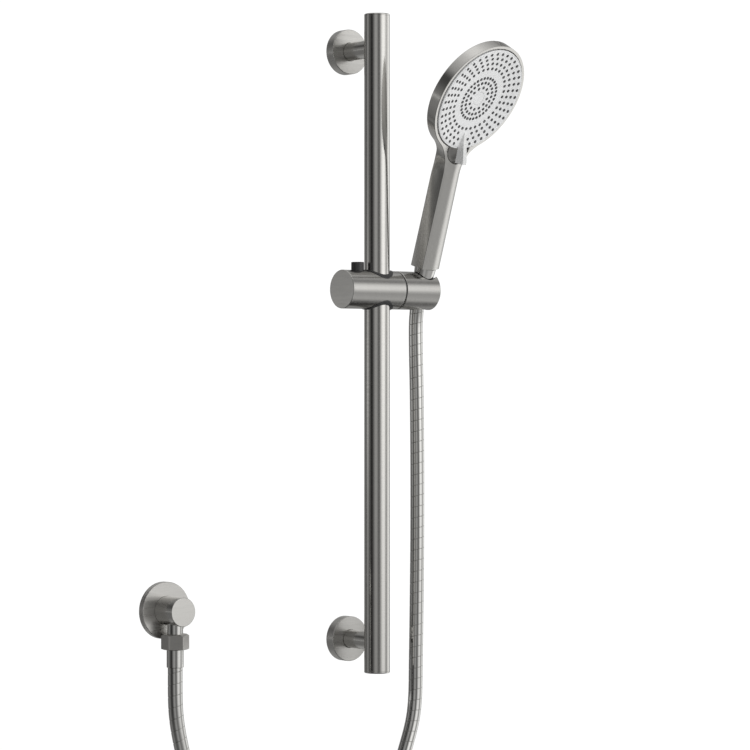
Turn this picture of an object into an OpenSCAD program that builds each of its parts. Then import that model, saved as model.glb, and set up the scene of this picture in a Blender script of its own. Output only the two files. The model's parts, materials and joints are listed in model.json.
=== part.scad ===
// Wall shower set: a riser rail on two wall brackets, a slider with a tilting holder, a handset with a
// turning spray face, its metal hose, and the wall outlet that feeds the hose.
// The origin is the centre of the lower bracket's wall face. +Z is up, +X is to the right, the wall is
// the plane y = 0, and the set stands out from it towards -Y. Sizes are in millimetres.

/* [Rail] */
// Outside diameter of the riser rail
rail_d = 25; // [24:0.5:26]
// Wall thickness of the rail tube
rail_wall = 1.5; // [1:0.1:2]
// Length of rail below the lower bracket's centre
rail_drop = 30; // [26:1:40]
// Length of rail above the upper bracket's centre
rail_rise = 33; // [26:1:45]
// Distance from the wall to the rail's axis
rail_reach = 52; // [50:1:60]
// Distance between the two bracket centres
bracket_spacing = 577; // [540:1:640]

/* [Brackets] */
// Diameter of a bracket's wall rose
flange_d = 44; // [44:1:54]
// Height of the rose from the wall
flange_t = 10.5; // [9:0.5:13]
// Diameter of a bracket's post
post_d = 17.5; // [17:0.5:19]

/* [Slider] */
// Diameter of the barrel that carries the handset
barrel_d = 37.5; // [37:0.5:40]
// Height of the barrel's axis above the lower bracket
slider_z = 342; // [120:1:460]
// Distance from the rail's axis to the barrel's left end
barrel_left = 43.7; // [43:0.1:48]
// Distance from the rail's axis to the seam between slider and holder
seam_x = 22.2; // [22:0.1:26]
// Distance from the rail's axis to the holder's free end
barrel_right = 65.7; // [65:0.1:70]
// Diameter of the release button
button_d = 12.4; // [12:0.1:13]
// Travel of the release button
button_travel = 3; // [2:0.5:3]

/* [Handset] */
// Distance from the rail's axis to the socket's axis
socket_x = 54.9; // [54:0.1:56]
// Lean of the handset away from the wall at rest, in degrees
tilt = 18.9; // [0:0.1:30]
// Turn of the handset about its own handle, in degrees
swing = 9; // [0:1:20]
// Width of the handle
handle_w = 25; // [24:0.5:27]
// Depth of the handle's flat sides
handle_flat = 13.7; // [13:0.1:15]
// Radius of the head
head_r = 57.5; // [57:0.5:60]
// Radius of the spray face
face_r = 53.9; // [53.5:0.1:54]
// Angle between the spray face and the handle, in degrees
head_angle = 13.8; // [10:0.1:16]
// Radius of one spray nozzle
nozzle_r = 1.15; // [0.8:0.05:1.2]

/* [Hose and outlet] */
// Outside diameter of the hose
hose_d = 14; // [13:0.5:14.5]
// Distance from the rail's axis to the outlet, to the left
outlet_left = 217; // [180:1:300]
// Height of the outlet above the lower bracket
outlet_z = 39; // [20:1:80]
// Diameter of the outlet's wall rose
rose_d = 53.5; // [50:0.5:60]
// Diameter of the elbow's body
elbow_d = 27; // [26:0.5:28]
// Width across the flats of the hose nut
nut_af = 23; // [22.5:0.5:25]

/* [Hidden] */
$fn = 64;
ROD = 300; // longer than any cut has to be
rail_r = rail_d / 2;
rail_top = bracket_spacing + rail_rise;
cap_t = 2;
cap_chamfer = 0.8;
cap_stem = 10;
fit = 0.05; // radial gap of a close fit
gap = 0.3; // gap between pieces that move past each other
screw_r = 3; // post screw, M6
insert_h = 24;

flange_r = flange_d / 2;
flange_wall = 2;
post_r = post_d / 2;
post_bore_r = 6.05;
web_y = 31; // where the solid end of the post begins, from the wall
base_r = 18.5;
base_t = 4;
base_screw_r = 2.25;
base_screw_z = 13.5;
grub_y = 16;
grub_r = 2.4;

barrel_r = barrel_d / 2;
shell_r = barrel_r - 2.2;
core_half = 17; // half the length of the solid middle of the slider
end_cap_t = 1.4;
bush_r = 16.1;
bush_lip = 0.9;
button_x = -24.2;
button_top = 26.5; // above the barrel's axis
stem_w = 6;
stem_low = button_travel - 12; // clear of the barrel's wall when pressed
stem_knee = -5; // the stem is slanted from here
stem_shoulder = 8.2; // up to here
cam_slope = 0.5; // shoe travel for each millimetre of button travel
shoe_half = 5;
pad_x = -16;
washer_t = 1.2;
holder_x = seam_x + washer_t + 0.15;
bolt_r = 4;
bolt_web = 5.4;
bolt_head_x = holder_x + bolt_web + 1.4;
bolt_chamber_r = 8.2;
slot_w = 15;

handle_low = 24.7; // lower end of the handle, from the barrel's axis
handle_wall = 2;
crown_front = 3;
crown_back = 4;
thread_r = 9.3; // G1/2, as a plain cylinder at the thread's minor diameter
thread_end = 17.9;
tube_r = 7.4;
tube_bore_r = 5.4;
cone_top_r = 10.7;
cone_low_r = 8.1;
cone_low = -4;
tail_r = 6.9;
tail_low = -11.5;
ferrule_r = 7.7;
face_y = -22.95; // centre of the spray face, in the handset's frame
face_z = 199.7;
rim_front = 1.3; // depths behind the spray face
rim_back = 12.8;
cavity_back = 12;
dish_t = 2.7; // the spray face is dished by this much, with a flat middle and an arc round it
dish_flat_r = 20;
dish_arc_r = 170;
plate_t = 3.9;
mat_t = 0.7;
back_plate_low = plate_t + mat_t;
back_plate_high = 6.6;
disc_high = 8.6;
chamber_low = 9.4;
OUTER_RINGS = [[49.5, 40, 0.5, 2], [44.2, 38, 0, 1], [38.5, 36, 0.5, 2], [32.8, 34, 0, 0]];
INNER_RINGS = [[22.2, 32, 0, 0], [17, 22, 0, 0], [11.7, 12, 0, 0]];
neck_arc = 36; // radius of the fillets between handle and head
riser_shift = 2; // the waterway's last stretch runs this much nearer the back
scoop_r = 16.2; // the bowl in the handle where the lever sits
scoop_depth = 4.2;
scoop_y = 53;
lever_tip = 35.5;
lever_end = 66;
lever_high = 13;

outlet_x = -outlet_left;
elbow_r = elbow_d / 2;
elbow_reach = 34;
spigot_y = 20.5;
neck_r = 7.4;
nut_top = -21; // heights from the outlet's axis
nut_low = -35.3;
outlet_ferrule_low = -52;
rose_t = 6.5;

hose_r = hose_d / 2;
hose_bore_r = 4.5;
HOSE_SIDES = 12;
holder_swing = 3; // the holder's end of the hose swings clear of the rest by this much
// the hose's centreline, from the handset's tail down to the lowest point, in x, y, z
SLIDER_ROUTE = [
    [54.9, -48, 330.4], [54.9, -46.4, 324.8], [54.9, -45.4, 318], [54.9, -45, 311], [54.9, -45, 303],
    [54.9, -45, 275], [54.9, -45, 240], [54.9, -45, 205], [54.9, -45, 170], [54.9, -45, 135],
    [54.9, -45, 100], [54.9, -45, 65], [54.9, -45, 30], [54.9, -45, -5], [54.9, -45, -32],
    [54.7, -45, -50], [53.4, -45, -69], [51, -45, -81], [47.5, -44.8, -93], [42.5, -44.6, -106],
    [34.2, -44.2, -130], [27.4, -43.8, -156], [23, -43.2, -184], [20.8, -42.6, -214], [19.8, -42, -246],
    [16.4, -41.4, -272], [8.8, -40.4, -294], [-2.6, -39.4, -312], [-16.4, -38.4, -326],
    [-32.6, -37.2, -336.6], [-50, -36, -343.2], [-66.8, -34.6, -346.2], [-82, -33.4, -347], [-86, -33, -347]
];
// the same from the lowest point up to the outlet's ferrule
OUTLET_ROUTE = [
    [-86.4, -33, -347], [-90.4, -32.6, -347], [-105.6, -31.2, -344.4], [-120.4, -29.7, -337],
    [-133.2, -28.2, -325.4], [-143, -27, -310], [-151.8, -26, -287], [-160.5, -25, -259],
    [-169.5, -24, -228], [-179, -23, -195],
    [-188.5, -22.2, -162], [-198, -21.4, -131], [-206, -20.8, -104], [-210.5, -20.6, -86],
    [-213.8, -20.5, -72], [-216.2, -20.5, -57], [-217, -20.5, -42], [-217, -20.5, -28], [-217, -20.5, -13.3]
];
HOLDER_RINGS = 5; // the first points of the route move with the holder

NICKEL = [0.6, 0.58, 0.55];
STEEL = [0.72, 0.72, 0.72];
DARK = [0.2, 0.2, 0.2];
PLATE = [0.85, 0.85, 0.86];
SILICONE = [0.25, 0.25, 0.26];
WHITE = [0.9, 0.9, 0.88];
BRASS = [0.75, 0.6, 0.3];

// ---- frames ----

module upper_bracket() translate([0, 0, bracket_spacing]) children();
module barrel_frame() translate([0, -rail_reach, slider_z]) children();
module holder_frame() translate([socket_x, -rail_reach, slider_z]) rotate([tilt, 0, 0]) children();
module handset_frame() holder_frame() rotate([0, 0, swing]) children();
// z is the depth behind the spray face, and y points down the face towards the handle
module face_frame() handset_frame() translate([0, face_y, face_z]) rotate([head_angle - 90, 0, 0]) children();
module outlet_frame() translate([outlet_x, 0, outlet_z]) children();
module elbow_drop() outlet_frame() translate([0, -spigot_y, 0]) children();

// ---- shapes ----

// a round bar along -Y, between two distances from the wall
module out_bar(r, y0, y1) translate([0, -y0, 0]) rotate([90, 0, 0]) cylinder(r = r, h = y1 - y0);
// a round bar along X
module cross_bar(r, x0, x1) translate([x0, 0, 0]) rotate([0, 90, 0]) cylinder(r = r, h = x1 - x0);
// a round bar along Z
module up_bar(r, z0, z1) translate([0, 0, z0]) cylinder(r = r, h = z1 - z0);
// a tapered round bar along Z
module cone_bar(r0, r1, z0, z1) translate([0, 0, z0]) cylinder(r1 = r0, r2 = r1, h = z1 - z0);
// a tube along Z
module up_tube(r, bore, z0, z1) {
    difference() {
        up_bar(r, z0, z1);
        up_bar(bore, z0 - 1, z1 + 1);
    }
}

function unit(v) = v / norm(v);
function heading(path, i) = unit(path[min(i + 1, len(path) - 1)] - path[max(i - 1, 0)]);
function ring(centre, along, side, r, sides) =
    let (a = unit(cross(side, along)), b = cross(along, a))
    [for (k = [0:sides - 1]) centre + r * (cos(360 * k / sides) * a + sin(360 * k / sides) * b)];
// a solid swept along a path; side is a direction that the path never takes
module swept(path, r, sides, side) {
    rings = len(path);
    points = [for (i = [0:rings - 1]) each ring(path[i], heading(path, i), side, r, sides)];
    walls = [
        for (i = [0:rings - 2]) for (k = [0:sides - 1])
            let (n = (k + 1) % sides)
            each [
                [i * sides + k, (i + 1) * sides + k, i * sides + n],
                [i * sides + n, (i + 1) * sides + k, (i + 1) * sides + n]
            ]
    ];
    first = [for (k = [0:sides - 1]) k];
    last = [for (k = [sides - 1:-1:0]) (rings - 1) * sides + k];
    polyhedron(points, concat(walls, [first], [last]));
}
// the same with a bore, for the hose
module swept_hose(path, side) {
    rings = len(path);
    sides = HOSE_SIDES;
    inner = rings * sides; // the bore's points follow the outer ones
    points = [
        for (r = [hose_r, hose_bore_r]) for (i = [0:rings - 1])
            each ring(path[i], heading(path, i), side, r, sides)
    ];
    walls = [
        for (i = [0:rings - 2]) for (k = [0:sides - 1])
            let (n = (k + 1) % sides, a = i * sides, b = (i + 1) * sides)
            each [
                [a + k, b + k, a + n], [a + n, b + k, b + n],
                [inner + a + k, inner + a + n, inner + b + k], [inner + a + n, inner + b + n, inner + b + k]
            ]
    ];
    end = (rings - 1) * sides;
    rims = [
        for (k = [0:sides - 1])
            let (n = (k + 1) % sides)
            each [[k, n, inner + n, inner + k], [end + n, end + k, inner + end + k, inner + end + n]]
    ];
    polyhedron(points, concat(walls, rims));
}
// a wire spring standing on z = 0
module coil_spring(r, wire_r, height, turns) {
    steps = 10;
    rise = height - 2 * wire_r;
    path = [
        for (i = [0:turns * steps])
            [r * cos(360 * i / steps), r * sin(360 * i / steps), wire_r + rise * i / (turns * steps)]
    ];
    swept(path, wire_r, 6, [0, 0, 1]);
}

// ---- rail ----

module riser_rail() {
    color(NICKEL) translate([0, -rail_reach, 0]) difference() {
        up_tube(rail_r, rail_r - rail_wall, cap_t - rail_drop, rail_top - cap_t);
        for (z = [0, bracket_spacing])
            translate([0, rail_reach, z]) out_bar(screw_r + 0.2, rail_reach - rail_d, rail_reach);
    }
}
// an end cap whose outer face is at z = 0, with its stem pointing down
module rail_cap() {
    color(NICKEL) {
        translate([0, 0, -cap_chamfer]) cylinder(r1 = rail_r, r2 = rail_r - cap_chamfer, h = cap_chamfer);
        up_bar(rail_r, -cap_t, -cap_chamfer);
        up_bar(rail_r - rail_wall - fit, -cap_stem, -cap_t);
    }
}
module rail_top_cap() translate([0, -rail_reach, rail_top]) rail_cap();
module rail_bottom_cap() translate([0, -rail_reach, -rail_drop]) mirror([0, 0, 1]) rail_cap();

// ---- brackets, each about its own centre on the wall ----

module flange() {
    color(NICKEL) rotate([90, 0, 0]) rotate_extrude() polygon([
        [flange_r - flange_wall, 0], [flange_r, 0], [flange_r, flange_t - 0.8], [flange_r - 0.8, flange_t],
        [post_r + fit, flange_t], [post_r + fit, flange_t - flange_wall],
        [flange_r - flange_wall, flange_t - flange_wall]
    ]);
}
module post() {
    color(NICKEL) difference() {
        out_bar(post_r, base_t, rail_reach);
        out_bar(post_bore_r, base_t - 1, web_y);
        out_bar(screw_r + 0.2, base_t, rail_reach + 1);
        translate([0, -rail_reach, 0]) up_bar(rail_r + 0.02, -ROD, ROD);
        translate([0, -grub_y, 0]) up_bar(grub_r + fit, -ROD, 0);
    }
}
module wall_base() {
    color(STEEL) difference() {
        union() {
            out_bar(base_r, 0, base_t);
            out_bar(post_bore_r - fit, base_t, 22);
        }
        for (side = [-1, 1]) translate([0, 0, side * base_screw_z]) {
            out_bar(base_screw_r, -1, base_t + 1);
            translate([0, -base_t - 0.01, 0]) rotate([-90, 0, 0])
                cylinder(r1 = 4.4, r2 = base_screw_r, h = 2.2);
        }
        translate([0, -grub_y, 0]) up_bar(grub_r + 0.2, -ROD, 1 - post_bore_r);
    }
}
module grub_screw() {
    color(DARK) translate([0, -grub_y, 0]) difference() {
        up_bar(grub_r, -post_r + 0.3, 1 - post_bore_r);
        translate([0, 0, -post_r]) cylinder(r = 1.3, h = 2.4, $fn = 6);
    }
}
module rail_insert() {
    color(BRASS) translate([0, -rail_reach, 0]) difference() {
        up_bar(rail_r - rail_wall - fit, -insert_h / 2, insert_h / 2);
        rotate([90, 0, 0]) cylinder(r = screw_r + fit, h = ROD, center = true);
    }
}
module post_screw() {
    color(STEEL) difference() {
        union() {
            out_bar(5, web_y - 5, web_y);
            out_bar(screw_r, web_y, rail_reach + 6);
        }
        translate([0, 6 - web_y, 0]) rotate([90, 0, 0]) cylinder(r = 2.9, h = 4, $fn = 6);
    }
}
module upper_flange() upper_bracket() flange();
module upper_post() upper_bracket() post();
module upper_wall_base() upper_bracket() wall_base();
module upper_grub_screw() upper_bracket() grub_screw();
module upper_rail_insert() upper_bracket() rail_insert();
module upper_post_screw() upper_bracket() post_screw();
module lower_flange() flange();
module lower_post() post();
module lower_wall_base() wall_base();
module lower_grub_screw() grub_screw();
module lower_rail_insert() rail_insert();
module lower_post_screw() post_screw();

// ---- slider, about the barrel's axis ----

module slider_body() {
    color(NICKEL) barrel_frame() difference() {
        cross_bar(barrel_r, end_cap_t - barrel_left, seam_x);
        cross_bar(shell_r, -ROD, -core_half);
        up_bar(bush_r + fit, -ROD, ROD);
        translate([-core_half - 1, -shoe_half - gap, -shoe_half - gap])
            cube([core_half, 2 * (shoe_half + gap), 2 * (shoe_half + gap)]);
        translate([button_x, 0, 0]) up_bar(button_d / 2 + gap, 0, ROD);
        cross_bar(bolt_r + fit, 0, ROD);
    }
}
module slider_end_cap() {
    color(NICKEL) barrel_frame() difference() {
        union() {
            translate([-barrel_left, 0, 0]) rotate([0, 90, 0])
                cylinder(r1 = barrel_r - 0.5, r2 = barrel_r, h = 0.5);
            cross_bar(barrel_r, 0.5 - barrel_left, end_cap_t - barrel_left);
            cross_bar(shell_r - fit, end_cap_t - barrel_left, 6 - barrel_left);
        }
        cross_bar(shell_r - 2, end_cap_t + 0.8 - barrel_left, 0);
    }
}
module rail_bush() {
    color(DARK) barrel_frame() intersection() {
        difference() {
            up_bar(bush_r, -barrel_d, barrel_d);
            up_bar(rail_r + 0.08, -ROD, ROD);
            translate([-ROD, -shoe_half - gap, -shoe_half - gap])
                cube([ROD, 2 * (shoe_half + gap), 2 * (shoe_half + gap)]);
        }
        cross_bar(barrel_r + bush_lip, -core_half, core_half);
    }
}
// the slanted centreline of the button's stem and of the shoe's slot, at height z
function cam_x(z) = button_x - cam_slope * min(max(z, stem_knee), stem_shoulder);
module cam_outline(half, low, high) {
    polygon([
        [cam_x(low) - half, low], [cam_x(low) + half, low], [cam_x(stem_knee) + half, stem_knee],
        [cam_x(stem_shoulder) + half, stem_shoulder], [cam_x(high) + half, high],
        [cam_x(high) - half, high], [cam_x(stem_shoulder) - half, stem_shoulder],
        [cam_x(stem_knee) - half, stem_knee]
    ]);
}
module release_button() {
    color(DARK) barrel_frame() {
        translate([button_x, 0, 0]) {
            up_bar(button_d / 2, 10, button_top - 0.6);
            cone_bar(button_d / 2, button_d / 2 - 0.6, button_top - 0.6, button_top);
        }
        translate([0, stem_w / 2, 0]) rotate([90, 0, 0]) linear_extrude(stem_w)
            cam_outline(stem_w / 2, stem_low, 10.5);
    }
}
module button_spring() {
    color(STEEL) barrel_frame() translate([cam_x(stem_low), 0, -shell_r + 0.4])
        coil_spring(2.6, 0.45, shell_r + stem_low - 0.5, 3);
}
module brake_shoe() {
    slant = cam_slope * shoe_half;
    color(WHITE) barrel_frame() difference() {
        translate([-33, -shoe_half, -shoe_half]) cube([33 + pad_x, 2 * shoe_half, 2 * shoe_half]);
        translate([0, stem_w / 2 + gap, 0]) rotate([90, 0, 0]) linear_extrude(stem_w + 2 * gap) polygon([
            [button_x + 2 * slant - stem_w / 2 - gap, -2 * shoe_half],
            [button_x + 2 * slant + stem_w / 2 + gap, -2 * shoe_half],
            [button_x - 2 * slant + stem_w / 2 + gap, 2 * shoe_half],
            [button_x - 2 * slant - stem_w / 2 - gap, 2 * shoe_half]
        ]);
    }
}
module brake_pad() {
    color(DARK) barrel_frame() difference() {
        translate([pad_x, 0.4 - shoe_half, 0.4 - shoe_half])
            cube([-pad_x, 2 * shoe_half - 0.8, 2 * shoe_half - 0.8]);
        up_bar(rail_r + 0.15, -ROD, ROD);
    }
}
module friction_washer() {
    color(DARK) barrel_frame() difference() {
        cross_bar(barrel_r - 0.7, seam_x, seam_x + washer_t);
        cross_bar(bolt_r + fit, 0, ROD);
    }
}
module pivot_bolt() {
    color(STEEL) barrel_frame() difference() {
        union() {
            cross_bar(bolt_r, bush_r + 0.6, bolt_head_x);
            cross_bar(6.5, bolt_head_x, bolt_head_x + 4.5);
        }
        translate([bolt_head_x + 1.5, 0, 0]) rotate([0, 90, 0]) cylinder(r = 3.4, h = ROD, $fn = 6);
    }
}
module tension_washer() {
    color(STEEL) barrel_frame() difference() {
        cross_bar(7.2, bolt_head_x - 1.2, bolt_head_x);
        cross_bar(bolt_r + fit, 0, ROD);
    }
}

// ---- holder ----

function cone_r(z) = cone_low_r + (cone_top_r - cone_low_r) * (z - cone_low) / (handle_low - cone_low);
// the space inside the socket: z runs along the handle
module socket_space(grow) {
    cone_bar(cone_r(cone_low) + grow, cone_r(barrel_r + 3) + grow, cone_low, barrel_r + 3);
    up_bar(cone_r(cone_low) + grow, -barrel_r - 3, cone_low);
}
module hose_slot(w) translate([0, -w / 2, -ROD / 2]) cube([ROD, w, ROD]);
module holder_body() {
    color(NICKEL) difference() {
        barrel_frame() cross_bar(barrel_r, holder_x, barrel_right);
        barrel_frame() cross_bar(bolt_r + fit, 0, socket_x);
        barrel_frame() cross_bar(bolt_chamber_r, holder_x + bolt_web, socket_x);
        holder_frame() {
            socket_space(1.7);
            hose_slot(slot_w);
        }
    }
}
module socket_liner() {
    color(DARK) difference() {
        intersection() {
            holder_frame() socket_space(1.65);
            barrel_frame() cross_bar(barrel_r - 0.8, 0, ROD);
        }
        holder_frame() {
            socket_space(0.35);
            hose_slot(slot_w + 0.4);
        }
        barrel_frame() cross_bar(5, 0, socket_x);
    }
}

// ---- handset: z runs up the handle ----

// section of the handle, crowned at the front and back, with flat sides
module handle_outline(shrink) {
    w = handle_w - 2 * shrink;
    front = crown_r(crown_front);
    back = crown_r(crown_back);
    intersection() {
        translate([-w / 2, -ROD / 2]) square([w, ROD]);
        translate([0, front - handle_flat / 2 - crown_front]) circle(r = front - shrink);
        translate([0, handle_flat / 2 + crown_back - back]) circle(r = back - shrink);
    }
}
// radius of the arc that rises by crown over the handle's width
function crown_r(crown) = (pow(handle_w / 2, 2) + pow(crown, 2)) / (2 * crown);

// plan of the neck, flaring from the handle's width to the head's rim with two arcs
module neck_plan() {
    side = handle_w / 2 + neck_arc;
    reach = sqrt(pow(head_r + neck_arc, 2) - pow(side, 2));
    difference() {
        polygon([
            [0, head_r * 0.6], [side * head_r / (head_r + neck_arc), reach * head_r / (head_r + neck_arc)],
            [handle_w / 2, reach], [-handle_w / 2, reach],
            [-side * head_r / (head_r + neck_arc), reach * head_r / (head_r + neck_arc)]
        ]);
        for (s = [-1, 1]) translate([s * side, reach]) circle(r = neck_arc, $fn = 128);
    }
}
module head_outer() {
    rotate_extrude($fn = 128) polygon([
        [0, rim_front], [head_r - 0.5, rim_front], [head_r, rim_front + 0.5], [head_r, rim_back - 1],
        [head_r - 1, rim_back], [38, 15.6], [18, 17], [0, 17.2]
    ]);
}
module scoop_bowl() {
    translate([0, scoop_y, 0]) rotate_extrude($fn = 96) polygon([
        [0, -30], [scoop_r, -30], [scoop_r, -1], [scoop_r - 1, 1], [scoop_r - 3.7, 2.9], [scoop_r / 2, 3.8],
        [0, scoop_depth]
    ]);
}
module handset_shell() {
    color(NICKEL) difference() {
        union() {
            handset_frame() translate([0, 0, handle_low]) linear_extrude(123) handle_outline(0);
            face_frame() {
                head_outer();
                translate([0, 0, rim_front]) linear_extrude(14) neck_plan();
            }
            hull() {
                handset_frame() translate([0, 0, 138]) linear_extrude(2) handle_outline(0.4);
                face_frame() translate([0, 18, 13]) cylinder(r = 26, h = 3.6, $fn = 32);
            }
        }
        handset_frame() {
            translate([0, 0, handle_low + handle_wall]) linear_extrude(100) handle_outline(handle_wall);
            up_bar(thread_r + fit, handle_low - 1, handle_low + handle_wall + 1);
            translate([0, riser_shift, 0]) up_bar(5.6, 100, 156);
        }
        face_frame() {
            up_bar(face_r + gap, -ROD, cavity_back);
            up_bar(head_r + 0.5, -ROD, rim_front);
            difference() {
                scoop_bowl();
                up_bar(face_r + 1.5, -ROD, ROD);
            }
        }
    }
}
module waterway_core() {
    color(WHITE) handset_frame() difference() {
        union() {
            up_bar(thread_r, thread_end, handle_low + handle_wall);
            up_bar(tube_r, handle_low + handle_wall, 124);
            translate([0, riser_shift, 0]) up_bar(5.2, 122, 150);
        }
        up_bar(tube_bore_r, 0, 119);
        translate([0, riser_shift, 0]) up_bar(3.2, 118, 151);
        face_frame_cut();
    }
}
// the space of the flow chamber, seen from the handset's frame
module face_frame_cut() {
    translate([0, face_y, face_z]) rotate([head_angle - 90, 0, 0]) up_bar(face_r - 0.9, -ROD, ROD);
}
module flow_restrictor() {
    color(SILICONE) handset_frame() up_tube(tube_bore_r - fit, 1.6, thread_end + 1, thread_end + 5);
}
module flow_chamber() {
    color(WHITE) face_frame() difference() {
        up_bar(face_r - 0.9 - fit, chamber_low, cavity_back - 0.1);
        difference() {
            up_bar(face_r - 4, chamber_low - 0.1, cavity_back - 1);
            up_bar(25, 0, ROD);
        }
        up_bar(2, 0, cavity_back - 0.6);
        for (a = [0, 120, 240]) rotate(a) translate([15, 0, 0]) up_bar(2.6, 0, ROD / 2);
        translate([0, face_r - 5, 10.7]) rotate([-90, 0, 0]) cylinder(r = 0.9, h = 9);
    }
}
module diverter_seal() {
    color(SILICONE) face_frame() difference() {
        up_tube(22, 8, disc_high + gap, chamber_low);
        for (a = [0, 120, 240]) rotate(a) translate([15, 0, 0]) up_bar(2.6, 0, ROD);
    }
}
module rim_seal() {
    color(SILICONE) face_frame() up_tube(face_r - 1, face_r - 3, back_plate_high + gap, chamber_low);
}

// ---- spray face, which turns in the head ----

// centres of one ring's nozzles: [radius, number, phase in pitches, how many the lever covers]
function ring_centres(spec) =
    let (pitch = 360 / spec[1], first = ceil(spec[3] / 2), last = spec[1] - 1 - floor(spec[3] / 2))
    [for (i = [first:last]) let (a = (i + spec[2]) * pitch) spec[0] * [sin(a), cos(a)]];
module nozzle_plan(rings, r) {
    for (spec = rings) for (c = ring_centres(spec)) translate(c) circle(r = r, $fn = 16);
}
// depth of the dish at a distance from its centre
function dish(r) = max(0, dish_t - pow(max(0, r - dish_flat_r), 2) / (2 * dish_arc_r));
module face_plate() {
    color(PLATE) face_frame() difference() {
        rotate_extrude($fn = 128) polygon(concat(
            [[0, plate_t], [0, dish_t], [dish_flat_r, dish_t]],
            [for (r = [25:5:45]) [r, dish(r)]],
            [[50.3, 0], [face_r, 0], [face_r, plate_t]]
        ));
        translate([0, 0, -1]) linear_extrude(plate_t + 2) {
            nozzle_plan(OUTER_RINGS, nozzle_r + fit);
            nozzle_plan(INNER_RINGS, nozzle_r + fit);
            circle(r = 7);
        }
    }
}
module nozzle_mat(rings, inner, outer) {
    color(SILICONE) face_frame() {
        translate([0, 0, plate_t]) linear_extrude(mat_t) difference() {
            circle(r = outer);
            circle(r = inner);
        }
        for (spec = rings) translate([0, 0, dish(spec[0]) - 0.5])
            linear_extrude(plate_t + 0.7 - dish(spec[0])) nozzle_plan([spec], nozzle_r);
    }
}
module outer_nozzles() nozzle_mat(OUTER_RINGS, 29.5, 52.5);
module inner_nozzles() nozzle_mat(INNER_RINGS, 9, 25);
module centre_cap() {
    color(PLATE) face_frame() up_bar(7 - fit, dish_t + 0.15, 3.4);
}
module face_screw() {
    color(STEEL) face_frame() {
        up_bar(4, 3.5, back_plate_low);
        up_bar(1.9, back_plate_low, 10.8);
    }
}
module face_back_plate() {
    color(WHITE) face_frame() difference() {
        up_bar(face_r - 0.9, back_plate_low, back_plate_high);
        difference() {
            up_bar(51, 3, 5.7);
            up_bar(29.5, 0, ROD);
        }
        difference() {
            up_bar(24, 3, 5.7);
            up_bar(9.5, 0, ROD);
        }
        up_bar(2, 0, 10);
        for (a = [60, 180, 300]) rotate(a) translate([15, 0, 0]) up_bar(2, 0, 10);
    }
}
module diverter_disc() {
    color(WHITE) face_frame() difference() {
        up_bar(21, back_plate_high, disc_high);
        up_bar(2, 0, 10);
        for (a = [60, 180, 300]) rotate(a) translate([15, 0, 0]) up_bar(2, 0, 10);
    }
}
module selector_lever() {
    color(PLATE) face_frame() hull() {
        translate([-0.6, lever_tip, dish(lever_tip + 1) - 0.25]) cube([1.2, 1, 0.2]);
        translate([-4, face_r - 4, -0.5]) cube([8, 1, 0.4]);
        translate([-5.6, lever_end - 1, -6]) cube([11.2, 1, 0.6]);
        translate([-2.8, lever_end - 3, -lever_high]) cube([5.6, 1, 1]);
    }
}

// ---- hose ----

module hose_cone_nut() {
    color(STEEL) handset_frame() difference() {
        cone_bar(cone_low_r, cone_top_r, cone_low, handle_low - gap);
        up_bar(thread_r + fit, 15, ROD);
        up_bar(tail_r + 0.1, -ROD, ROD);
    }
}
module hose_washer() color(SILICONE) handset_frame() up_tube(9, 5, 16.2, thread_end);
module hose_tail() {
    color(BRASS) handset_frame() difference() {
        union() {
            up_bar(9, 15.1, 16.2);
            up_bar(tail_r, tail_low, 15.1);
        }
        up_bar(4.5, -ROD, ROD);
    }
}
module hose_tail_ferrule() {
    color(STEEL) handset_frame() up_tube(ferrule_r, tail_r + fit, tail_low, cone_low - gap);
}
// part of a route, from one of its points to another
function stretch(route, from, to) = [for (i = [from:to]) route[i]];
module hose_holder_end() {
    color(STEEL) swept_hose(stretch(SLIDER_ROUTE, 0, HOLDER_RINGS - 1), [1, 0, 0]);
}
module hose_slider_leg() {
    lower_start = SLIDER_ROUTE[HOLDER_RINGS - 1] - [0, 0, holder_swing];
    rest = stretch(SLIDER_ROUTE, HOLDER_RINGS, len(SLIDER_ROUTE) - 1);
    color(STEEL) swept_hose(concat([lower_start], rest), [0, 1, 0]);
}
module hose_outlet_leg() color(STEEL) swept_hose(OUTLET_ROUTE, [0, 1, 0]);

// ---- wall outlet ----

module outlet_rose() {
    rose_r = rose_d / 2;
    color(NICKEL) outlet_frame() rotate([90, 0, 0]) rotate_extrude($fn = 96) polygon([
        [rose_r - 2.5, 0], [rose_r, 0], [rose_r, rose_t - 1], [rose_r - 1, rose_t],
        [elbow_r + fit, rose_t], [elbow_r + fit, rose_t - 2], [rose_r - 2.5, rose_t - 2]
    ]);
}
module outlet_elbow() {
    color(NICKEL) difference() {
        union() {
            outlet_frame() out_bar(elbow_r, 0.5, elbow_reach - 0.6);
            outlet_frame() translate([0, 0.6 - elbow_reach, 0]) rotate([90, 0, 0])
                cylinder(r1 = elbow_r, r2 = elbow_r - 0.6, h = 0.6);
            elbow_drop() up_bar(neck_r, nut_top - 1, 0);
            elbow_drop() up_bar(thread_r, nut_low + 5.35, nut_top + 0.5);
        }
        outlet_frame() out_bar(thread_r + fit, 0, 15);
        outlet_frame() out_bar(5.5, 14, elbow_reach - 5);
        elbow_drop() up_bar(5.45, -ROD, 0);
    }
}
module check_valve_cage() {
    color(WHITE) elbow_drop() difference() {
        up_bar(5.4, -29, -15);
        up_bar(4.4, -27, -17);
        up_bar(2.6, -20, -14);
        up_bar(1.2, -30, -26);
        for (a = [0, 120, 240]) rotate(a) translate([2.9, 0, 0]) up_bar(1, -30, -26);
    }
}
module check_valve_poppet() {
    color(DARK) elbow_drop() {
        cone_bar(3.8, 3.2, -19, -17.3);
        up_bar(3.8, -19.8, -19);
        up_bar(1.1, -28.5, -19.8);
    }
}
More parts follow.
